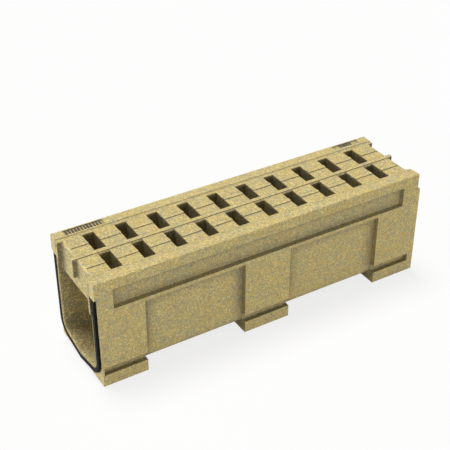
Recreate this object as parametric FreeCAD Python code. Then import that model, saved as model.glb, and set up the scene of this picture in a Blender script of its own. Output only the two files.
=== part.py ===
import FreeCAD, Part
import math
import os

# Channel drain unit, moulded in one piece. Lengths in millimetres.
# X runs along the channel, Y across it, Z up. The origin lies under the middle of the unit,
# on the plane that the feet stand on.

# Overall size
LENGTH = 1000.0            # length of the top, and the spacing of units in a line
HALF_WIDTH = 128.0
HEIGHT = 325.0
SOCKET_DEPTH = 7.5         # how far the lower skin runs past the top at the socket end
X_START = -(LENGTH + SOCKET_DEPTH) / 2
EDGE_R = 1.5               # rounding left by the mould on its long edges
OVERCUT = 6.0              # how far the cutting tools run past a face
SMALL_CUT = 1.0            # the same where little room is left
TOUCH = 0.01               # tolerance for telling where an edge lies
MID_ARC = 1 - math.sqrt(0.5)  # middle of a quarter round, as a share of its radius

# Top: rails, sunken grid and ribs
RAIL_INNER_Y = 99.5
SURFACE_EDGE_Y = 93.5
SURFACE_Z = 321.8
RIB_TOP_Z = 323.5
RIB_HALF = 6.2
SIDE_RIB_Y = 48.1
GRID_BOTTOM_Z = 233.0

# Inlet slots
SLOT_COUNT = 10
SLOT_PITCH = 91.5
SLOT_FIRST_X = 85.0
SLOT_WIDTH = 32.5
SLOT_SPREAD = 1.5          # how much wider each side is at the bottom
SLOT_INNER_Y = 10.0
SLOT_CORNER_R = 3.0
WEB_BEVEL_Z = 318.5        # foot of the bevel on the middle web beside a slot
WEB_TOP_HALF = 5.9         # half width left on the middle rib between two slots

# Half slots at both ends, and the lug between them
GRID_SETBACK = 13.0
GRID_END_R = 4.5
END_CORNER_R = 7.0
RIB_BEVEL = 3.7            # length of the slope at the ends of the side ribs
LUG_TIP_GAP = 0.4
LUG_BOTTOM_Z = 270.0
LUG_CORNER_R = 2.5

# Side walls of the slots, which spread downwards as far as the haunch
WALL_TOP_Y = 86.0
HAUNCH_Z = 216.0
HAUNCH_Y = 91.3
HAUNCH_R = 3.0

# Flow channel: a shallow vee floor and corners about one centre line
CORNER_Y = 70.0
CORNER_Z = 69.5
FLOOR_SLOPE = math.radians(10.0)
BORE_HALF = 98.0

# Spigot end
BLOCK_BOTTOM_Z = 275.5     # the top overhangs above this level
SHOULDER_X = 8.0
RIM_HALF = 105.5
RIM_SETBACK = 1.75
RIM_INNER_R = 3.5
TONGUE_HALF = 99.0
OVERHANG_CHAMFER = (7.0, 1.5)  # on the side of the panelled rail, and on the other

# Rubber strip around the spigot
SEAL_HALF = 120.0
SEAL_TOP_Z = 273.5
SEAL_FRONT_X = 0.4
SEAL_EDGE_R = 2.0

# Socket end
SOCKET_HALF = 120.5

# Outside: long recess, pockets between the feet, and hand grooves over the feet
RECESS_X = (50.0, 949.0)
RECESS_Z = (236.0, 295.0)
RECESS_DEPTH = 13.0
RECESS_DRAFT = 1.5
RECESS_CORNER_R = 3.0
POCKETS_X = ((135.0, 429.3), (570.7, 865.0))
POCKET_TOP_Z = 226.0
TROUGH_HALF = 111.0
TROUGH_CORNER_R = 34.0
TROUGH_BOTTOM_Z = 2.0
GROOVES_X = ((12.0, 145.0), (420.0, 580.0), (855.0, 987.0))
GROOVE_Z = (36.0, 59.0)
GROOVE_DEPTH = 15.0
GROOVE_R = 4.0

# Shallow panels in one rail
PANEL_DEPTH = 3.0
PANEL_R = 2.0
PANELS = ((31.0, 142.0, 102.0, 124.0), (879.0, 967.0, 106.0, 124.0))


def along(distance):
    """Model X of a point this far from the spigot end of the top."""
    return X_START + distance


def wall_y(z):
    """Half width between the side walls at height z."""
    share = (SURFACE_Z - z) / (SURFACE_Z - HAUNCH_Z)
    return WALL_TOP_Y + (HAUNCH_Y - WALL_TOP_Y) * share


def rounded_wire(corners, place):
    """Closed wire through (u, v, radius) corners; place(u, v) gives the point in space."""
    edges = []
    arcs = []
    count = len(corners)
    for i, (u, v, radius) in enumerate(corners):
        here = FreeCAD.Vector(u, v, 0)
        before = FreeCAD.Vector(*corners[i - 1][:2], 0) - here
        after = FreeCAD.Vector(*corners[(i + 1) % count][:2], 0) - here
        before.normalize()
        after.normalize()
        half = before.getAngle(after) / 2
        reach = radius / math.tan(half)
        middle = before + after
        middle.normalize()
        tip = here + middle * (radius / math.sin(half) - radius)
        arcs.append((here + before * reach, tip, here + after * reach, radius))
    for i, (start, tip, end, radius) in enumerate(arcs):
        if radius > 0:
            arc = Part.Arc(place(start.x, start.y), place(tip.x, tip.y), place(end.x, end.y))
            edges.append(arc.toShape())
        following = arcs[(i + 1) % count][0]
        if (following - end).Length > 1e-6:
            edges.append(Part.makeLine(place(end.x, end.y), place(following.x, following.y)))
    return Part.Wire(edges)


def bar_x(corners, start, end):
    """Solid with a (y, z, radius) section, from start to end along the channel."""
    wire = rounded_wire(corners, lambda y, z: FreeCAD.Vector(along(start), y, z))
    return Part.Face(wire).extrude(FreeCAD.Vector(end - start, 0, 0))


def bar_y(corners, start, end):
    """Solid with an (x, z, radius) section, from start to end across the channel."""
    wire = rounded_wire(corners, lambda x, z: FreeCAD.Vector(along(x), start, z))
    return Part.Face(wire).extrude(FreeCAD.Vector(0, end - start, 0))


def bar_z(corners, low_z, high_z):
    """Upright solid with an (x, y, radius) section."""
    wire = rounded_wire(corners, lambda x, y: FreeCAD.Vector(along(x), y, low_z))
    return Part.Face(wire).extrude(FreeCAD.Vector(0, 0, high_z - low_z))


def drafted_block(low, low_z, high, high_z):
    """Upright block with sloping flat sides; low and high are (x0, x1, y0, y1)."""
    across = [(low[2], low_z, 0), (low[3], low_z, 0), (high[3], high_z, 0), (high[2], high_z, 0)]
    lengthwise = [(low[0], low_z, 0), (low[1], low_z, 0), (high[1], high_z, 0), (high[0], high_z, 0)]
    block = bar_x(across, min(low[0], high[0]) - SMALL_CUT, max(low[1], high[1]) + SMALL_CUT)
    sides = bar_y(lengthwise, min(low[2], high[2]) - SMALL_CUT, max(low[3], high[3]) + SMALL_CUT)
    return block.common(sides)


def round_edges(solid, radius, chosen):
    """Fillet of the edges that the chosen function accepts."""
    return solid.makeFillet(radius, [edge for edge in solid.Edges if chosen(edge)])


def rises(solid):
    """Accepts the edges that run the whole height of the solid."""
    return lambda edge: edge.BoundBox.ZLength > solid.BoundBox.ZLength - TOUCH


def box(x0, x1, y0, y1, z0, z1):
    return Part.makeBox(x1 - x0, y1 - y0, z1 - z0, FreeCAD.Vector(along(x0), y0, z0))


def rectangle(x0, x1, y0, y1, radius):
    return [(x0, y0, radius), (x1, y0, radius), (x1, y1, radius), (x0, y1, radius)]


def both_sides(shape):
    """The shape and its mirror image across the channel."""
    return [shape, shape.mirror(FreeCAD.Vector(0, 0, 0), FreeCAD.Vector(0, 1, 0))]


def mirrored(half):
    """Full section from the corners with y > 0, listed from top to bottom."""
    other = [(-y, z, radius) for y, z, radius in reversed(half)]
    return half + other


def vee_section(half_width, top_z, corner_r, apex_z):
    corner_z = apex_z + math.tan(FLOOR_SLOPE) * half_width
    half = [(half_width, top_z, 0), (half_width, corner_z, corner_r)]
    return half + [(0, apex_z, 0)] + mirrored(half)[2:]


def ring_section(half_width, top_z):
    """Channel outline whose corners share the common centre line."""
    corner_r = half_width - CORNER_Y
    apex_z = CORNER_Z - math.tan(FLOOR_SLOPE) * CORNER_Y - corner_r / math.cos(FLOOR_SLOPE)
    return vee_section(half_width, top_z, corner_r, apex_z)


def top_block():
    """Head of the channel with rails, sunken surface and ribs."""
    half = [
        (HALF_WIDTH, HEIGHT, EDGE_R),
        (RAIL_INNER_Y, HEIGHT, EDGE_R),
        (SURFACE_EDGE_Y, SURFACE_Z, 0),
        (SIDE_RIB_Y + RIB_HALF, SURFACE_Z, 0),
        (SIDE_RIB_Y + RIB_HALF, RIB_TOP_Z, 0),
        (SIDE_RIB_Y - RIB_HALF, RIB_TOP_Z, 0),
        (SIDE_RIB_Y - RIB_HALF, SURFACE_Z, 0),
        (RIB_HALF, SURFACE_Z, 0),
        (RIB_HALF, RIB_TOP_Z, 0),
    ]
    section = [(HALF_WIDTH, BLOCK_BOTTOM_Z, 0)] + mirrored(half) + [(-HALF_WIDTH, BLOCK_BOTTOM_Z, 0)]
    block = bar_x(section, 0, LENGTH)

    def outer_corner(edge):
        bounds = edge.BoundBox
        side = abs(abs(edge.CenterOfMass.y) - HALF_WIDTH) < TOUCH
        return side and bounds.ZLength > 2 * EDGE_R and bounds.XLength < TOUCH

    return round_edges(block, EDGE_R, outer_corner)


def lower_block():
    """Walls and feet before the bore and the pockets are taken out."""
    section = [
        (HALF_WIDTH, BLOCK_BOTTOM_Z, 0),
        (-HALF_WIDTH, BLOCK_BOTTOM_Z, 0),
        (-HALF_WIDTH, 0, EDGE_R),
        (HALF_WIDTH, 0, EDGE_R),
    ]
    return bar_x(section, SHOULDER_X, LENGTH + SOCKET_DEPTH)


def spigot():
    """Rim that enters the next socket, with the tongues above it."""
    rim = bar_x(ring_section(RIM_HALF, HAUNCH_Z), RIM_SETBACK, SHOULDER_X)
    tongue = box(0, SHOULDER_X, -TONGUE_HALF, TONGUE_HALF, HAUNCH_Z, BLOCK_BOTTOM_Z)
    return rim.fuse(tongue)


def bore_tool():
    """Flow channel, with the haunches that carry the grid at its top."""
    half = [
        (wall_y(GRID_BOTTOM_Z), GRID_BOTTOM_Z, HAUNCH_R),
        (HAUNCH_Y, HAUNCH_Z, HAUNCH_R),
        (BORE_HALF, HAUNCH_Z, HAUNCH_R),
    ]
    section = mirrored(half)
    section[len(half):len(half)] = ring_section(BORE_HALF, HAUNCH_Z)[1:-1]
    return bar_x(section, -OVERCUT, LENGTH + SOCKET_DEPTH + OVERCUT)


def slot_tool(centre):
    """Shaft of one inlet slot, wider below, and the bevel that opens it towards the middle rib."""
    bottom_z = GRID_BOTTOM_Z - OVERCUT
    top_z = HEIGHT + OVERCUT
    half = SLOT_WIDTH / 2
    wide = half + SLOT_SPREAD
    shaft = drafted_block((centre - wide, centre + wide, SLOT_INNER_Y, wall_y(bottom_z)), bottom_z,
                          (centre - half, centre + half, SLOT_INNER_Y, wall_y(top_z)), top_z)
    bevel = [
        (SLOT_INNER_Y, WEB_BEVEL_Z, 0),
        (SLOT_INNER_Y + SLOT_CORNER_R, WEB_BEVEL_Z, 0),
        (SLOT_INNER_Y + SLOT_CORNER_R, top_z, 0),
        (WEB_TOP_HALF, top_z, 0),
        (WEB_TOP_HALF, RIB_TOP_Z, 0),
    ]
    return [round_edges(shaft, SLOT_CORNER_R, rises(shaft)), bar_x(bevel, centre - half, centre + half)]


def slot_tools():
    tools = []
    for i in range(SLOT_COUNT):
        for tool in slot_tool(SLOT_FIRST_X + i * SLOT_PITCH):
            tools += both_sides(tool)
    return tools


def end_tools():
    """Space in front of the grid at the spigot end: half slots and rounded upper edge."""
    tools = []
    low_z = GRID_BOTTOM_Z - OVERCUT
    high_z = HEIGHT + OVERCUT

    slot = drafted_block((-OVERCUT, GRID_SETBACK, RIB_HALF, wall_y(low_z)), low_z,
                         (-OVERCUT, GRID_SETBACK, RIB_HALF, wall_y(high_z)), high_z)
    inner = along(GRID_SETBACK) - TOUCH
    upright = rises(slot)
    slot = round_edges(slot, END_CORNER_R, lambda e: upright(e) and e.BoundBox.XMin > inner)
    tools += both_sides(slot)
    tools.append(box(-OVERCUT, GRID_SETBACK, -RIB_HALF, RIB_HALF, low_z, high_z))
    beside = RIB_HALF + END_CORNER_R
    tools.append(box(-OVERCUT, GRID_SETBACK, -beside, beside, low_z, LUG_BOTTOM_Z))
    bend = MID_ARC * GRID_END_R
    flat_x = GRID_SETBACK + GRID_END_R
    brow = [
        (GRID_SETBACK - SMALL_CUT, high_z, 0),
        (GRID_SETBACK - SMALL_CUT, SURFACE_Z - GRID_END_R - SMALL_CUT, 0),
        (GRID_SETBACK, SURFACE_Z - GRID_END_R, 0),
        (GRID_SETBACK + bend, SURFACE_Z - bend, 0),
        (flat_x, SURFACE_Z, 0),
        (flat_x + RIB_BEVEL, RIB_TOP_Z + SMALL_CUT, 0),
        (flat_x + RIB_BEVEL, high_z, 0),
    ]
    tools += both_sides(bar_y(brow, RIB_HALF, WALL_TOP_Y))
    return tools


def lug():
    """Lug that continues the middle web to the joint."""
    section = [
        (LUG_TIP_GAP, -RIB_HALF, LUG_CORNER_R),
        (GRID_SETBACK + END_CORNER_R, -RIB_HALF, 0),
        (GRID_SETBACK + END_CORNER_R, RIB_HALF, 0),
        (LUG_TIP_GAP, RIB_HALF, LUG_CORNER_R),
    ]
    return bar_z(section, LUG_BOTTOM_Z, RIB_TOP_Z)


def turned(shape):
    """The same shape at the other end of the top."""
    centre = FreeCAD.Vector(along(LENGTH / 2), 0, 0)
    return shape.mirror(centre, FreeCAD.Vector(1, 0, 0))


def overhang_tools():
    """Chamfers under the overhanging top at the spigot end, one for each side."""
    tools = []
    for side, chamfer in zip((1, -1), OVERHANG_CHAMFER):
        section = [
            (side * (HALF_WIDTH + SMALL_CUT), BLOCK_BOTTOM_Z + chamfer + SMALL_CUT, 0),
            (side * (HALF_WIDTH + SMALL_CUT), BLOCK_BOTTOM_Z - SMALL_CUT, 0),
            (side * (HALF_WIDTH - chamfer - SMALL_CUT), BLOCK_BOTTOM_Z - SMALL_CUT, 0),
        ]
        tools.append(bar_x(section, -SMALL_CUT, SHOULDER_X))
    return tools


def recess_tools():
    """Long recess below each rail, drafted towards its floor."""
    outer_y = HALF_WIDTH + SMALL_CUT
    inner_y = HALF_WIDTH - RECESS_DEPTH
    low_z, high_z = RECESS_Z
    start, end = RECESS_X
    across = [
        (outer_y, low_z, 0),
        (outer_y, high_z, 0),
        (inner_y, high_z - RECESS_DRAFT, 0),
        (inner_y, low_z + RECESS_DRAFT, 0),
    ]
    lengthwise = [
        (start, outer_y, 0),
        (end, outer_y, 0),
        (end - RECESS_DRAFT, inner_y, 0),
        (start + RECESS_DRAFT, inner_y, 0),
    ]
    tool = bar_x(across, start, end).common(bar_z(lengthwise, low_z, high_z))
    return both_sides(round_edges(tool, RECESS_CORNER_R, lambda e: e.BoundBox.YLength > RECESS_DEPTH))


def pocket_tool(start, end):
    """Everything outside the trough between two feet."""
    reach = HALF_WIDTH + OVERCUT
    around = box(start, end, -reach, reach, -OVERCUT, POCKET_TOP_Z)
    section = vee_section(TROUGH_HALF, POCKET_TOP_Z + OVERCUT, TROUGH_CORNER_R, TROUGH_BOTTOM_Z)
    trough = bar_x(section, start - OVERCUT, end + OVERCUT)
    return around.cut(trough)


def groove_tools():
    """Hand grooves above the feet; the outer ones stop short of the end faces."""
    tools = []
    for start, end in GROOVES_X:
        outer_y = HALF_WIDTH + OVERCUT
        inner_y = HALF_WIDTH - GROOVE_DEPTH
        section = [
            (outer_y, GROOVE_Z[0], 0),
            (outer_y, GROOVE_Z[1], 0),
            (inner_y, GROOVE_Z[1], GROOVE_R),
            (inner_y, GROOVE_Z[0], GROOVE_R),
        ]
        tools += both_sides(bar_x(section, start, end))
    return tools


def panel_tools():
    tools = []
    for x0, x1, y0, y1 in PANELS:
        outline = rectangle(x0, x1, y0, y1, PANEL_R)
        tools.append(bar_z(outline, HEIGHT - PANEL_DEPTH, HEIGHT + OVERCUT))
    return tools


def rim_tools():
    """Rounds the inner edge of the rim, in two steps of a quarter circle."""
    bend = MID_ARC * RIM_INNER_R
    steps = ((0.0, RIM_INNER_R), (bend, bend), (RIM_INNER_R, 0.0))
    tools = []
    for (x0, grow0), (x1, grow1) in zip(steps, steps[1:]):
        wires = []
        for x, grow in ((x0, grow0), (x1, grow1)):
            place_x = along(RIM_SETBACK + x)
            section = ring_section(BORE_HALF + grow, HAUNCH_Z)
            wires.append(rounded_wire(section, lambda y, z: FreeCAD.Vector(place_x, y, z)))
        tools.append(Part.makeLoft(wires, True, True))
    return tools


def channel_body():
    body = top_block().fuse([lower_block(), spigot()])
    tools = [bore_tool()]
    tools += slot_tools()
    ends = end_tools()
    tools += ends + [turned(tool) for tool in ends]
    tools += overhang_tools()
    tools += recess_tools()
    tools += [pocket_tool(start, end) for start, end in POCKETS_X]
    tools += groove_tools()
    tools += panel_tools()
    tools += rim_tools()
    socket = ring_section(SOCKET_HALF, BLOCK_BOTTOM_Z)
    tools.append(bar_x(socket, LENGTH, LENGTH + SOCKET_DEPTH + OVERCUT))
    body = body.cut(tools)
    body = body.fuse([lug(), turned(lug())])
    return body.removeSplitter()


def end_seal():
    """Rubber strip seated around the spigot rim, rounded towards the joint."""
    outer = bar_x(ring_section(SEAL_HALF, SEAL_TOP_Z), SEAL_FRONT_X, SHOULDER_X)
    hollow = ring_section(RIM_HALF, SEAL_TOP_Z + OVERCUT)
    strip = outer.cut(bar_x(hollow, SEAL_FRONT_X - SMALL_CUT, SHOULDER_X + SMALL_CUT))
    front = []
    for edge in strip.Edges:
        bounds = edge.BoundBox
        if abs(bounds.XMax - along(SEAL_FRONT_X)) < TOUCH and bounds.ZMin < SEAL_TOP_Z - SMALL_CUT:
            front.append(edge)
    return strip.makeFillet(SEAL_EDGE_R, front)


def main():
    os.makedirs("parts", exist_ok=True)
    for name, shape in (("channel_body", channel_body()), ("end_seal", end_seal())):
        if shape.ShapeType != "Solid":
            shape = shape.Solids[0]
        shape.exportStep("parts/" + name + ".step")


main()
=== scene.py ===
import math

import bpy
from bpy.props import FloatProperty, FloatVectorProperty, IntProperty, PointerProperty
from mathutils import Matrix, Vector


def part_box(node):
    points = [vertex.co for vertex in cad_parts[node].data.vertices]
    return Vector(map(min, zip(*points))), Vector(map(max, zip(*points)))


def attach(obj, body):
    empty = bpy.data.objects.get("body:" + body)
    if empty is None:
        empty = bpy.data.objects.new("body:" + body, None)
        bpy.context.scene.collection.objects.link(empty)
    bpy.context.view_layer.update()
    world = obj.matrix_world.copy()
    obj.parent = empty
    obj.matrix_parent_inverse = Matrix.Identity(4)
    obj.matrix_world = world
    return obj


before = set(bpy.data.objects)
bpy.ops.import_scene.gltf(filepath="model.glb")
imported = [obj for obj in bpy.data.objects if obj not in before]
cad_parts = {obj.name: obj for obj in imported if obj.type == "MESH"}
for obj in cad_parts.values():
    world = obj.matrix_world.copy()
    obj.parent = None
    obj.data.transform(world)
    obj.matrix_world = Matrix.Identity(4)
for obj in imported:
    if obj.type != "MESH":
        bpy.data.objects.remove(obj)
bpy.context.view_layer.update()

bl_info = {
    "name": "Channel drain finishes",
    "version": (1, 0, 0),
    "blender": (4, 5, 0),
    "location": "View3D > Sidebar > Channel drain",
    "description": "Polymer concrete, rubber strip, raised bars and stage for a channel drain unit",
    "category": "Object",
}

BODY_LOW, BODY_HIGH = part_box("channel_body")
SPIGOT_X = BODY_LOW.x
RAIL_TOP = BODY_HIGH.z
MM = 0.001

# Places on the channel body: heights from its foot, the rest from its middle
TOP_MIDDLE_X = SPIGOT_X + 500.0 * MM
BELOW_TOP_Z = RAIL_TOP - 4.0 * MM            # just below the grid and the rails
RIB_HALF = 6.2 * MM                          # half width of the ribs between the rails
SIDE_RIB_Y = 48.1 * MM                       # middle of the outer ribs
RIB_FOOT = (-0.15 * MM, 1.3 * MM)            # painted shade along a rib, from its side
RIB_FOOT_Z = RAIL_TOP - 3.6 * MM
RAIL_SLOPE_Y = (95.3 * MM, 98.3 * MM)        # painted shade on the slope inside a rail
RAIL_SLOPE_Z = RAIL_TOP - 3.0 * MM
WALL_INNER_Y = 85.5 * MM                     # inner faces of the walls beside the slots
BORE_LIMIT_Y = 104.5 * MM                    # within the walls and the spigot rim
BORE_LIMIT_Z = 22.0 * MM                     # above the underside of the vee
BORE_TOP_Z = 217.0 * MM                      # below the haunches
BORE_FADE_Z = (220.0 * MM, 320.0 * MM)       # where the painted shade fades upwards
BORE_SHADE_X = (330.0 * MM, 490.0 * MM)       # where the painted shade grows towards an end
GRID_END_X = 487.0 * MM                      # end faces of the grid
LUG_TIP_X = 498.8 * MM                       # just short of the tips of the lugs
GAP_HALF_Y = 92.0 * MM                       # half width of the gaps beside the lugs
HAIR = 0.5 * MM                              # just off a face
VEE_RISE = math.tan(math.radians(10.0))

# Shares of the painted shade along the rails and near the ends
SLOPE_SHADE = 0.7         # on the slopes of the rails, against the ribs
UPPER_LOSS = 0.15        # what the painted shade in the bore loses upwards
GRID_FACE_SHADE = 0.4     # on the end faces of the grid, against the gaps beside the lugs

# Clouds and pores: where each starts and where it is full
CLOUD_EDGE = (0.38, 0.66)
HAZE_EDGE = (0.42, 0.62)
PORE_EDGE = (0.10, 0.16)
BLOOM_EDGE = (0.45, 0.75)
HAZE_SHARE = 0.35
PORE_SHARE = 0.55
BLOOM_SHARE = 0.6

# Grit: a grain takes a colour where its random number is above the limit
FLAKE_LIMIT = 0.86
COARSE_QUARTZ = 0.80
COARSE_SLATE = 0.83
COARSE_AMBER = 0.93
FINE_QUARTZ = 0.82
FINE_SLATE = 0.84
PORE_LIMIT = 0.6

# Bars in the rail panels
PANEL_FLOOR_Z = RAIL_TOP - 3.1 * MM
BAR_CORNER = 0.14        # corner radius, as a share of the bar
BAR_CROWN = 0.82         # size of a bar's top, as a share of its foot

# Where the lamps stand: height and turn from +X, in degrees
TOP_LAMP = ((76.0, 104.0),)
LEFT_LAMPS = ((3.0, 175.0), (3.0, 150.0), (3.0, 125.0))
FRONT_LAMPS = ((5.0, 230.0), (5.0, 265.0), (5.0, 295.0))

FLOOR_REACH = 30.0

# Where the camera stands and which way it looks
CAMERA_PLACE = (SPIGOT_X - 0.73117, -1.94871, 1.78604)
CAMERA_AIM = (0.42983, 0.71324, -0.55370)


# --- Shader graphs -------------------------------------------------------------------------

class Wire:
    """One output socket; expressions on it add the nodes that work them out."""

    def __init__(self, graph, socket):
        self.graph = graph
        self.socket = socket

    def __add__(self, other):
        return self.graph.maths("ADD", self, other)

    def __radd__(self, other):
        return self.graph.maths("ADD", other, self)

    def __sub__(self, other):
        return self.graph.maths("SUBTRACT", self, other)

    def __rsub__(self, other):
        return self.graph.maths("SUBTRACT", other, self)

    def __mul__(self, other):
        return self.graph.maths("MULTIPLY", self, other)

    def __rmul__(self, other):
        return self.graph.maths("MULTIPLY", other, self)

    def __gt__(self, other):
        return self.graph.maths("GREATER_THAN", self, other)


class Graph:
    """Node tree of a material or world, emptied and ready to be filled."""

    def __init__(self, owner):
        owner.use_nodes = True
        self.tree = owner.node_tree
        self.tree.nodes.clear()

    def node(self, kind, settings=None, sockets=None, out=0):
        """Adds a node: its settings first, then values or wires for its sockets."""
        made = self.tree.nodes.new(kind)
        for name, value in (settings or {}).items():
            setattr(made, name, value)
        for name, value in (sockets or {}).items():
            target = self.find(made.inputs, name)
            if isinstance(value, Wire):
                self.tree.links.new(value.socket, target)
            else:
                target.default_value = value
        return Wire(self, self.find(made.outputs, out))

    @staticmethod
    def find(sockets, name):
        if isinstance(name, int):
            return sockets[name]
        for socket in sockets:
            if name in (socket.identifier, socket.name) and socket.enabled:
                return socket
        raise KeyError(name)

    def maths(self, operation, first, second=0.0):
        return self.node("ShaderNodeMath", {"operation": operation}, {0: first, 1: second})

    def mix(self, share, first, second, blend="MIX"):
        """Colour between first and second."""
        settings = {"data_type": "RGBA", "blend_type": blend}
        sockets = {"Factor_Float": share, "A_Color": first, "B_Color": second}
        return self.node("ShaderNodeMix", settings, sockets, "Result_Color")

    def step(self, value, low, high):
        """0 below low, 1 above high, smooth between."""
        settings = {"interpolation_type": "SMOOTHSTEP"}
        sockets = {"Value": value, "From Min": low, "From Max": high}
        return self.node("ShaderNodeMapRange", settings, sockets, "Result")

    def noise(self, place, scale, detail, roughness):
        sockets = {"Vector": place, "Scale": scale, "Detail": detail, "Roughness": roughness}
        return self.node("ShaderNodeTexNoise", None, sockets)

    def grains(self, place, scale):
        """Three random numbers for each grain, and the distance from its middle."""
        settings = {"voronoi_dimensions": "3D", "feature": "F1"}
        colour = self.node("ShaderNodeTexVoronoi", settings, {"Vector": place, "Scale": scale}, 1)
        split = self.node("ShaderNodeSeparateColor", None, {0: colour}).socket.node
        distance = Wire(self, colour.socket.node.outputs["Distance"])
        return [Wire(self, split.outputs[i]) for i in range(3)] + [distance]

    def shelter(self, reach):
        """0 on open faces, towards 1 in corners and hollows no deeper than the reach."""
        settings = {"samples": 16, "only_local": True}
        return 1 - self.node("ShaderNodeAmbientOcclusion", settings, {"Distance": reach}, "AO")

    def seen_directly(self):
        """1 for rays from the camera, mirrors and glass, 0 for light on the object."""
        rays = self.node("ShaderNodeLightPath", None, None, "Is Camera Ray").socket.node.outputs
        seen = Wire(self, rays["Is Camera Ray"])
        for name in ("Is Glossy Ray", "Is Transmission Ray"):
            seen = self.maths("MAXIMUM", seen, Wire(self, rays[name]))
        return seen

    def output(self, shader, kind="ShaderNodeOutputMaterial"):
        end = self.tree.nodes.new(kind)
        self.tree.links.new(shader.socket, end.inputs["Surface"])

    def surface(self, kind, sockets):
        self.output(self.node(kind, None, sockets))


def four(colour):
    return (colour[0], colour[1], colour[2], 1.0)


def new_material(name, viewport_colour):
    material = bpy.data.materials.new(name)
    material.diffuse_color = four(viewport_colour)
    return material


def from_middle(graph, place):
    """Distances from the middle across and along the channel, and the height."""
    split = graph.node("ShaderNodeSeparateXYZ", None, {0: place}).socket.node.outputs
    along, across, up = (Wire(graph, split[i]) for i in range(3))
    return (graph.maths("ABSOLUTE", across), graph.maths("ABSOLUTE", along - TOP_MIDDLE_X), up)


def between(value, low, high):
    """1 where the value is above low and not above high."""
    return (value > low) * (1 - (value > high))


def painted_shade_lines(graph, place):
    """Painted shade: 1 along the feet of the ribs and on the slopes of the rails, where shade falls."""
    across, _, up = from_middle(graph, place)
    from_side_rib = graph.maths("ABSOLUTE", across - SIDE_RIB_Y)
    beside_rib = graph.maths("MINIMUM", from_side_rib, across) - RIB_HALF
    foot = between(beside_rib, *RIB_FOOT) * (up > RIB_FOOT_Z)
    slope = between(across, *RAIL_SLOPE_Y) * (up > RAIL_SLOPE_Z)
    return graph.maths("MAXIMUM", foot, slope * SLOPE_SHADE)


def painted_shade_at_ends(graph, place):
    """Painted shade: 1 inside the bore near its ends, fading inwards, and in the gaps beside the lugs."""
    across, along, up = from_middle(graph, place)
    inside = (1 - (across > BORE_LIMIT_Y)) * (up - VEE_RISE * across > BORE_LIMIT_Z)
    below_grid = 1 - (up > BORE_TOP_Z) * (1 - (across > WALL_INNER_Y))
    faded = 1 - UPPER_LOSS * graph.step(up, *BORE_FADE_Z)
    bore = inside * below_grid * faded * graph.step(along, *BORE_SHADE_X)

    grid_face = GRID_FACE_SHADE * (along > GRID_END_X - HAIR)
    beside_lug = (1 - GRID_FACE_SHADE) * (along > GRID_END_X + HAIR)
    gap = (grid_face + beside_lug) * (1 - (along > LUG_TIP_X)) * (1 - (across > GAP_HALF_Y))
    return graph.maths("MAXIMUM", bore, gap * (up > BORE_TOP_Z)) * (1 - (up > BELOW_TOP_Z))


def binder_colour(graph, place, look):
    """Sandy binder with greyer and warmer clouds, grey flakes, and painted shade near the ends."""
    cloud = graph.noise(place, 1 / (look.mottle * MM), detail=3.0, roughness=0.55)
    haze = graph.noise(place, 0.37 / (look.mottle * MM), detail=2.0, roughness=0.5)
    flakes = graph.grains(place, 1 / (look.flake * MM))
    colour = graph.mix(graph.step(cloud, *CLOUD_EDGE), four(look.sand), four(look.stone))
    colour = graph.mix(graph.step(haze, *HAZE_EDGE) * HAZE_SHARE, colour, four(look.honey))
    colour = graph.mix((flakes[0] > FLAKE_LIMIT) * look.flake_share, colour, four(look.slate))
    # Painted shade: darker inside the bore near its ends and beside the lugs
    end_shade = painted_shade_at_ends(graph, place) * look.end_shade_share
    return graph.mix(end_shade, colour, four(look.end_shade), "MULTIPLY")


def with_grit(graph, colour, coarse, fine, look):
    """The colour with grit of two sizes laid over it."""
    layers = (
        (coarse[0] > COARSE_QUARTZ, look.quartz),
        (coarse[1] > COARSE_SLATE, look.slate),
        (coarse[2] > COARSE_AMBER, look.amber),
        (fine[0] > FINE_QUARTZ, look.quartz),
        (fine[1] > FINE_SLATE, look.slate),
    )
    for chosen, tint in layers:
        colour = graph.mix(chosen * look.grit, colour, four(tint))
    return colour


def with_painted_shade(graph, colour, place, look, extra_shade):
    """The colour with painted shade laid over it: darker in hollows and corners and along the ribs."""
    # Painted shade from how enclosed hollows and corners are, with shaded lines along the ribs and rail
    # slopes
    shade_cover = graph.maths("MINIMUM", graph.shelter(look.shelter * MM) * look.hollow_shade_gain, look.hollow_shade_most)
    shade_cover = graph.maths("MAXIMUM", shade_cover, painted_shade_lines(graph, place) * look.line_shade)
    return graph.mix(graph.maths("MAXIMUM", shade_cover, extra_shade), colour, four(look.hollow_shade))


def concrete_material(look, name, extra_shade=0.0):
    """Cast polymer concrete: sandy binder, quartz grit, soft mottling and small pores."""
    material = new_material(name, look.sand)
    graph = Graph(material)
    place = graph.node("ShaderNodeTexCoord", None, None, "Object")
    coarse = graph.grains(place, 1 / (look.grain * MM))
    fine = graph.grains(place, 1.9 / (look.grain * MM))
    pores = graph.grains(place, 1 / (look.pore_spacing * MM))
    pore = (1 - graph.step(pores[3], *PORE_EDGE)) * (pores[0] > PORE_LIMIT)

    colour = binder_colour(graph, place, look)
    colour = with_grit(graph, colour, coarse, fine, look)
    colour = graph.mix(pore * PORE_SHARE, colour, four(look.pore))
    # Painted shade laid over the colour
    colour = with_painted_shade(graph, colour, place, look, extra_shade)

    rough = 0.86 + 0.1 * fine[2] - 0.16 * (coarse[0] > COARSE_QUARTZ)
    skin = graph.noise(place, 2.2 / (look.grain * MM), detail=3.0, roughness=0.6)
    normal = graph.node("ShaderNodeBump", None, {
        "Strength": look.bump, "Distance": 0.35 * MM, "Height": skin + 0.4 * coarse[3] - 1.5 * pore},
        "Normal")
    graph.surface("ShaderNodeBsdfPrincipled", {
        "Base Color": colour, "Roughness": rough, "Normal": normal, "Specular IOR Level": 0.3})
    return material


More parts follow.
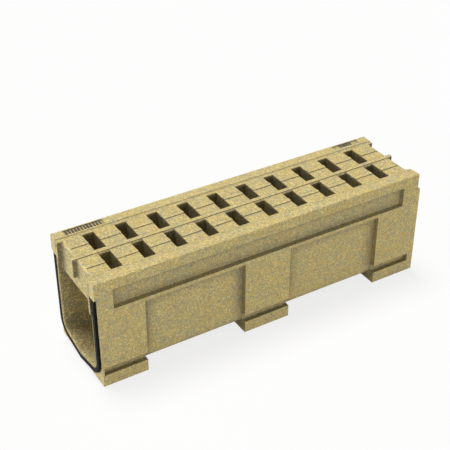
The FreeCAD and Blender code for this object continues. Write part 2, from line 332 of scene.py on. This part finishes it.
def rubber_material(look):
    """Moulded rubber: near black, satin, with a faint bloom and fine skin."""
    material = new_material("seal_rubber_moulded", look.rubber)
    graph = Graph(material)
    place = graph.node("ShaderNodeTexCoord", None, None, "Object")
    bloom = graph.noise(place, 70.0, detail=4.0, roughness=0.6)
    skin = graph.noise(place, 900.0, detail=3.0, roughness=0.6)
    dusty = graph.step(bloom, *BLOOM_EDGE) * BLOOM_SHARE
    colour = graph.mix(dusty, four(look.rubber), four(look.bloom))
    rough = look.rubber_roughness + 0.12 * bloom
    normal = graph.node("ShaderNodeBump", None, {
        "Strength": 0.12, "Distance": 0.15 * MM, "Height": skin}, "Normal")
    graph.surface("ShaderNodeBsdfPrincipled", {
        "Base Color": colour, "Roughness": rough, "Normal": normal, "Specular IOR Level": 0.1})
    return material


def dress(node, material):
    """Puts the material on every slot of a node of the frame."""
    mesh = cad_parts[node].data
    if not mesh.materials:
        mesh.materials.append(material)
    for index in range(len(mesh.materials)):
        mesh.materials[index] = material


# --- Raised bars ---------------------------------------------------------------------------

BAR_INPUTS = (
    ("Count", "NodeSocketInt", 8),
    ("Pitch", "NodeSocketFloat", 9 * MM),
    ("Narrow", "NodeSocketFloat", 3 * MM),
    ("Wide", "NodeSocketFloat", 6 * MM),
    ("Length", "NodeSocketFloat", 12 * MM),
    ("Height", "NodeSocketFloat", 2 * MM),
    ("Start", "NodeSocketVector", (0, 0, 0)),
    ("Seed", "NodeSocketInt", 1),
    ("Material", "NodeSocketMaterial", None),
)


def add_to(tree, kind, sockets, **settings):
    """Outputs of a new node of a geometry tree, with values or wires on its sockets."""
    made = tree.nodes.new(kind)
    for name, value in settings.items():
        setattr(made, name, value)
    for name, value in sockets.items():
        target = made.inputs[name]
        if isinstance(value, bpy.types.NodeSocket):
            tree.links.new(value, target)
        else:
            target.default_value = value
    return made.outputs


def bar_inputs(tree):
    """Named inputs of the tree of bars, as sockets to wire from."""
    for name, kind, default in BAR_INPUTS:
        socket = tree.interface.new_socket(name, in_out="INPUT", socket_type=kind)
        if default is not None:
            socket.default_value = default
    return tree.nodes.new("NodeGroupInput").outputs


def one_bar(tree):
    """Bar one unit long, wide and high, with rounded corners and a smaller top."""
    outline = add_to(tree, "GeometryNodeCurvePrimitiveQuadrilateral", {"Width": 1.0, "Height": 1.0})[0]
    outline = add_to(tree, "GeometryNodeFilletCurve", {
        "Curve": outline, "Radius": BAR_CORNER, "Count": 3}, mode="POLY")[0]
    face = add_to(tree, "GeometryNodeFillCurve", {"Curve": outline}, mode="NGONS")[0]
    raised = add_to(tree, "GeometryNodeExtrudeMesh", {"Mesh": face, "Offset Scale": 1.0}, mode="FACES")
    return add_to(tree, "GeometryNodeScaleElements", {
        "Geometry": raised[0], "Selection": raised[1], "Scale": BAR_CROWN})[0]


def bar_tree():
    """Row of raised bars of uneven width along X, as one mesh."""
    tree = bpy.data.node_groups.new("raised_bars", "GeometryNodeTree")
    given = bar_inputs(tree)
    tree.interface.new_socket("Geometry", in_out="OUTPUT", socket_type="NodeSocketGeometry")
    step = add_to(tree, "ShaderNodeCombineXYZ", {0: given["Pitch"]})[0]
    places = add_to(tree, "GeometryNodeMeshLine", {
        "Count": given["Count"], "Start Location": given["Start"], "Offset": step})[0]
    width = add_to(tree, "FunctionNodeRandomValue", {
        2: given["Narrow"], 3: given["Wide"], "Seed": given["Seed"]}, data_type="FLOAT")[1]
    size = add_to(tree, "ShaderNodeCombineXYZ", {0: width, 1: given["Length"], 2: given["Height"]})[0]
    bars = add_to(tree, "GeometryNodeInstanceOnPoints", {
        "Points": places, "Instance": one_bar(tree), "Scale": size})[0]
    solid = add_to(tree, "GeometryNodeRealizeInstances", {"Geometry": bars})[0]
    finished = add_to(tree, "GeometryNodeSetMaterial", {
        "Geometry": solid, "Material": given["Material"]})[0]
    end = tree.nodes.new("NodeGroupOutput")
    tree.links.new(finished, end.inputs["Geometry"])
    return tree


def grown_mesh(name, tree, values):
    """Plain mesh object made by a geometry tree with these input values."""
    source = bpy.data.meshes.new(name)
    piece = bpy.data.objects.new(name, source)
    bpy.context.scene.collection.objects.link(piece)
    modifier = piece.modifiers.new("shape", "NODES")
    modifier.node_group = tree
    for item in tree.interface.items_tree:
        if item.in_out == "INPUT" and item.name in values:
            modifier[item.identifier] = values[item.name]
    bpy.context.view_layer.update()
    evaluated = piece.evaluated_get(bpy.context.evaluated_depsgraph_get())
    mesh = bpy.data.meshes.new_from_object(evaluated)
    piece.modifiers.remove(modifier)
    piece.data = mesh
    if not mesh.polygons:
        raise RuntimeError(name + " came out empty")
    return piece


# --- Sizes and colours ---------------------------------------------------------------------

def colour_property(name, description, default):
    return FloatVectorProperty(name=name, description=description, subtype="COLOR", size=3,
                               min=0.0, max=1.0, default=default)


class DRAIN_PG_finish(bpy.types.PropertyGroup):
    sand: colour_property("Sand", "Main colour of the binder", (0.600, 0.478, 0.178))
    stone: colour_property("Stone", "Greyer areas of the binder", (0.520, 0.450, 0.212))
    honey: colour_property("Honey", "Warmer areas of the binder", (0.650, 0.485, 0.150))
    quartz: colour_property("Quartz", "Pale grit", (0.860, 0.690, 0.290))
    slate: colour_property("Slate", "Grey grit", (0.300, 0.290, 0.240))
    amber: colour_property("Amber", "Orange grit", (0.640, 0.310, 0.070))
    pore: colour_property("Pore", "Bottom of the small pores", (0.200, 0.150, 0.070))
    # Painted shade in hollows and corners: its colour, how fast it grows towards a corner and how much it
    # covers at most
    hollow_shade: colour_property("Dust", "Film of grey dust in hollows", (0.066, 0.067, 0.080))
    hollow_shade_gain: FloatProperty(name="Dust gain", default=2.45, min=0.0, max=6.0,
                             description="How fast the dust thickens towards a corner")
    hollow_shade_most: FloatProperty(name="Dust limit", default=0.38, min=0.0, max=1.0, subtype="FACTOR",
                             description="Share of the surface that the dust covers at most")
    # Painted shade over the bars in the rail panels
    bar_shade: FloatProperty(name="Bar stain", default=0.9, min=0.0, max=1.0, subtype="FACTOR",
                             description="How dark the bars in the rail panels are")
    # Painted shade along the ribs and on the rail slopes
    line_shade: FloatProperty(name="Line dirt", default=0.7, min=0.0, max=1.0, subtype="FACTOR",
                             description="How dark the dirt along the ribs is")
    # Painted shade in the bore near its ends and in the gaps beside the lugs
    end_shade: colour_property("Damp", "What damp leaves of the colour of the concrete", (0.25, 0.24, 0.21))
    end_shade_share: FloatProperty(name="Damp share", default=0.62, min=0.0, max=1.0, subtype="FACTOR",
                              description="How damp the bore is near its ends")
    flake: FloatProperty(name="Flake", description="Size of the grey flakes, in millimetres",
                         default=10.0, min=1.0, max=40.0)
    flake_share: FloatProperty(name="Flake strength", default=0.36, min=0.0, max=1.0,
                               description="How strongly the flakes show", subtype="FACTOR")
    # Reach of the painted shade in hollows
    shelter: FloatProperty(name="Shelter", default=40.0, min=1.0, max=200.0,
                           description="Size of the hollows that hold dust, in millimetres")
    grain: FloatProperty(name="Grain", description="Size of the coarse grit, in millimetres",
                         default=3.4, min=0.5, max=12.0)
    mottle: FloatProperty(name="Mottle", description="Size of the cloudy areas, in millimetres",
                          default=34.0, min=5.0, max=200.0)
    pore_spacing: FloatProperty(name="Pore spacing", default=16.0, min=4.0, max=80.0,
                                description="Distance between small pores, in millimetres")
    grit: FloatProperty(name="Grit", description="How strongly the grit shows",
                        default=0.64, min=0.0, max=1.0, subtype="FACTOR")
    bump: FloatProperty(name="Relief", description="Strength of the surface relief",
                        default=0.45, min=0.0, max=1.0, subtype="FACTOR")
    rubber: colour_property("Rubber", "Colour of the seal strip", (0.006, 0.006, 0.006))
    bloom: colour_property("Bloom", "Dusty areas of the strip", (0.014, 0.014, 0.013))
    rubber_roughness: FloatProperty(name="Rubber roughness", subtype="FACTOR", min=0.0, max=1.0,
                                    description="Roughness of the seal strip", default=0.65)


class DRAIN_PG_bars(bpy.types.PropertyGroup):
    pitch: FloatProperty(name="Pitch", description="Distance between neighbouring bars",
                         default=8.6 * MM, min=0.0, unit="LENGTH")
    narrow: FloatProperty(name="Narrowest", description="Width of the narrowest bar",
                          default=3.2 * MM, min=0.0, unit="LENGTH")
    wide: FloatProperty(name="Widest", description="Width of the widest bar",
                        default=6.0 * MM, min=0.0, unit="LENGTH")
    length: FloatProperty(name="Length", description="Length of the bars across the rail",
                          default=17.0 * MM, min=0.0, unit="LENGTH")
    height: FloatProperty(name="Height", description="How far the bars stand off the panel",
                          default=2.7 * MM, min=0.0, unit="LENGTH")
    first_count: IntProperty(name="Long row", description="Bars in the panel at the spigot end",
                             default=12, min=1, max=40)
    second_count: IntProperty(name="Short row", description="Bars in the panel at the socket end",
                              default=5, min=1, max=40)


class DRAIN_PG_stage(bpy.types.PropertyGroup):
    floor: colour_property("Floor", "Colour of the floor", (0.86, 0.86, 0.86))
    bounce: colour_property("Floor bounce", "Colour of the floor for the light on the object",
                            (0.35, 0.35, 0.35))
    glow: FloatProperty(name="Floor glow", description="How far the floor shows as plain white",
                        default=0.8, min=0.0, max=1.0, subtype="FACTOR")
    sky: FloatProperty(name="Sky", description="Strength of the even light from all round",
                       default=0.17, min=0.0, max=2.0)
    sky_colour: colour_property("Sky colour", "Colour of the even light", (0.85, 0.95, 1.0))
    top: FloatProperty(name="Top lamp", description="Strength of the lamp overhead",
                       default=2.75, min=0.0, max=20.0)
    left: FloatProperty(name="Left lamp", description="Strength of each low lamp at the left",
                        default=0.97, min=0.0, max=20.0)
    front: FloatProperty(name="Front lamp", description="Strength of each low lamp in front",
                         default=0.50, min=0.0, max=20.0)
    top_colour: colour_property("Lamp colour", "Colour of the top and front lamps", (1.0, 0.98, 0.94))
    left_colour: colour_property("Left colour", "Colour of the left lamps", (0.88, 0.90, 1.0))
    top_angle: FloatProperty(name="Top softness", description="Apparent size of the top lamp",
                             default=math.radians(25.0), min=0.0, max=math.pi, unit="ROTATION")
    side_angle: FloatProperty(name="Side softness", description="Apparent size of the low lamps",
                              default=math.radians(10.0), min=0.0, max=math.pi, unit="ROTATION")
    lens: FloatProperty(name="Lens", description="Focal length of the camera, in millimetres",
                        default=81.89, min=10.0, max=300.0)


# --- Operators -----------------------------------------------------------------------------

class DRAIN_OT_finish_concrete(bpy.types.Operator):
    """Give the channel body its cast polymer concrete"""

    bl_idname = "drain.finish_concrete"
    bl_label = "Finish the channel body"

    def execute(self, context):
        dress("channel_body", concrete_material(context.scene.drain_finish, "polymer_concrete_cast"))
        return {"FINISHED"}


class DRAIN_OT_finish_seal(bpy.types.Operator):
    """Give the end seal its moulded rubber"""

    bl_idname = "drain.finish_seal"
    bl_label = "Finish the end seal"

    def execute(self, context):
        dress("end_seal", rubber_material(context.scene.drain_finish))
        return {"FINISHED"}


class DRAIN_OT_raise_bars(bpy.types.Operator):
    """Raise a plain row of bars in each rail panel"""

    bl_idname = "drain.raise_bars"
    bl_label = "Raise the panel bars"

    def execute(self, context):
        sizes = context.scene.drain_bars
        look = context.scene.drain_finish
        # Painted shade: the bars are drawn darker all over
        cast = concrete_material(look, "polymer_concrete_painted_shade", look.bar_shade)
        tree = bar_tree()
        rows = (  # name, bars, first bar from the spigot end, middle across the rail, seed
            ("panel_bars_spigot", sizes.first_count, 38.5 * MM, 113.0 * MM, 3),
            ("panel_bars_socket", sizes.second_count, 905.0 * MM, 115.0 * MM, 8),
        )
        for name, count, start, across, seed in rows:
            piece = grown_mesh(name, tree, {
                "Count": count, "Pitch": sizes.pitch, "Narrow": sizes.narrow,
                "Wide": sizes.wide, "Length": sizes.length, "Height": sizes.height,
                "Start": (SPIGOT_X + start, across, PANEL_FLOOR_Z), "Seed": seed, "Material": cast})
            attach(piece, "root")
        return {"FINISHED"}


def add_sun(name, rise, turn, strength, softness, colour):
    """Sun lamp that shines from this rise above the floor and this turn from +X."""
    lamp = bpy.data.lights.new(name, "SUN")
    lamp.energy = strength
    lamp.angle = softness
    lamp.color = colour
    sun = bpy.data.objects.new(name, lamp)
    flat = math.cos(rise)
    towards = Vector((flat * math.cos(turn), flat * math.sin(turn), math.sin(rise)))
    sun.rotation_euler = towards.to_track_quat("Z", "Y").to_euler()
    bpy.context.scene.collection.objects.link(sun)


class DRAIN_OT_set_stage(bpy.types.Operator):
    """Set the floor, the soft light and the camera"""

    bl_idname = "drain.set_stage"
    bl_label = "Set the stage"

    def execute(self, context):
        stage = context.scene.drain_stage
        self.lay_floor(stage)
        self.light(stage)
        self.place_camera(context.scene, stage)
        context.scene.view_settings.view_transform = "Standard"
        return {"FINISHED"}

    @staticmethod
    def lay_floor(stage):
        mesh = bpy.data.meshes.new("floor")
        corners = [(x * FLOOR_REACH, y * FLOOR_REACH, 0) for x, y in ((-1, -1), (1, -1), (1, 1), (-1, 1))]
        mesh.from_pydata(corners, [], [(0, 1, 2, 3)])
        material = new_material("pale_floor", stage.floor)
        graph = Graph(material)
        seen = graph.seen_directly()
        shown = graph.mix(seen, four(stage.bounce), four(stage.floor))
        plain = graph.node("ShaderNodeBsdfDiffuse", None, {"Color": shown})
        white = graph.node("ShaderNodeEmission", None, {"Color": (1, 1, 1, 1), "Strength": 1.0})
        graph.output(graph.node("ShaderNodeMixShader", None, {0: seen * stage.glow, 1: plain, 2: white}))
        mesh.materials.append(material)
        floor = bpy.data.objects.new("floor", mesh)
        bpy.context.scene.collection.objects.link(floor)

    @staticmethod
    def light(stage):
        world = bpy.data.worlds.new("soft_sky")
        bpy.context.scene.world = world
        graph = Graph(world)
        seen = graph.seen_directly()
        strength = seen * (1.0 - stage.sky) + stage.sky
        colour = graph.mix(seen, four(stage.sky_colour), (1, 1, 1, 1))
        sky = graph.node("ShaderNodeBackground", None, {"Color": colour, "Strength": strength})
        graph.output(sky, "ShaderNodeOutputWorld")
        groups = (
            ("top", TOP_LAMP, stage.top, stage.top_angle, stage.top_colour),
            ("left", LEFT_LAMPS, stage.left, stage.side_angle, stage.left_colour),
            ("front", FRONT_LAMPS, stage.front, stage.side_angle, stage.top_colour),
        )
        for name, places, strength, softness, colour in groups:
            for height, turn in places:
                add_sun(name, math.radians(height), math.radians(turn), strength, softness, colour)

    @staticmethod
    def place_camera(scene, stage):
        lens = bpy.data.cameras.new("camera")
        lens.sensor_width = 36.0
        lens.lens = stage.lens
        lens.clip_end = 100.0
        camera = bpy.data.objects.new("camera", lens)
        camera.location = CAMERA_PLACE
        camera.rotation_euler = Vector(CAMERA_AIM).to_track_quat("-Z", "Y").to_euler()
        scene.collection.objects.link(camera)
        scene.camera = camera


class DRAIN_PT_panel(bpy.types.Panel):
    """Lists the steps that dress the channel drain"""

    bl_idname = "DRAIN_PT_panel"
    bl_label = "Channel drain"
    bl_space_type = "VIEW_3D"
    bl_region_type = "UI"
    bl_category = "Channel drain"

    def draw(self, context):
        for step in STEPS:
            self.layout.operator(step.bl_idname)
        for group in (context.scene.drain_finish, context.scene.drain_bars,
                      context.scene.drain_stage):
            box = self.layout.box()
            for name in group.__annotations__:
                box.prop(group, name)


GROUPS = {
    "drain_finish": DRAIN_PG_finish,
    "drain_bars": DRAIN_PG_bars,
    "drain_stage": DRAIN_PG_stage,
}
STEPS = (DRAIN_OT_finish_concrete, DRAIN_OT_finish_seal, DRAIN_OT_raise_bars, DRAIN_OT_set_stage)


def register():
    for group in GROUPS.values():
        bpy.utils.register_class(group)
    for step in STEPS:
        bpy.utils.register_class(step)
    bpy.utils.register_class(DRAIN_PT_panel)
    for name, group in GROUPS.items():
        setattr(bpy.types.Scene, name, PointerProperty(type=group))


def unregister():
    for name in GROUPS:
        delattr(bpy.types.Scene, name)
    bpy.utils.unregister_class(DRAIN_PT_panel)
    for step in reversed(STEPS):
        bpy.utils.unregister_class(step)
    for group in reversed(GROUPS.values()):
        bpy.utils.unregister_class(group)


def plain(bounds):
    return [[float(number) for number in corner] for corner in bounds]


def main():
    register()
    bpy.ops.drain.finish_concrete()
    bpy.ops.drain.finish_seal()
    bpy.ops.drain.raise_bars()
    bpy.ops.drain.set_stage()


if __name__ == "__main__":
    main()
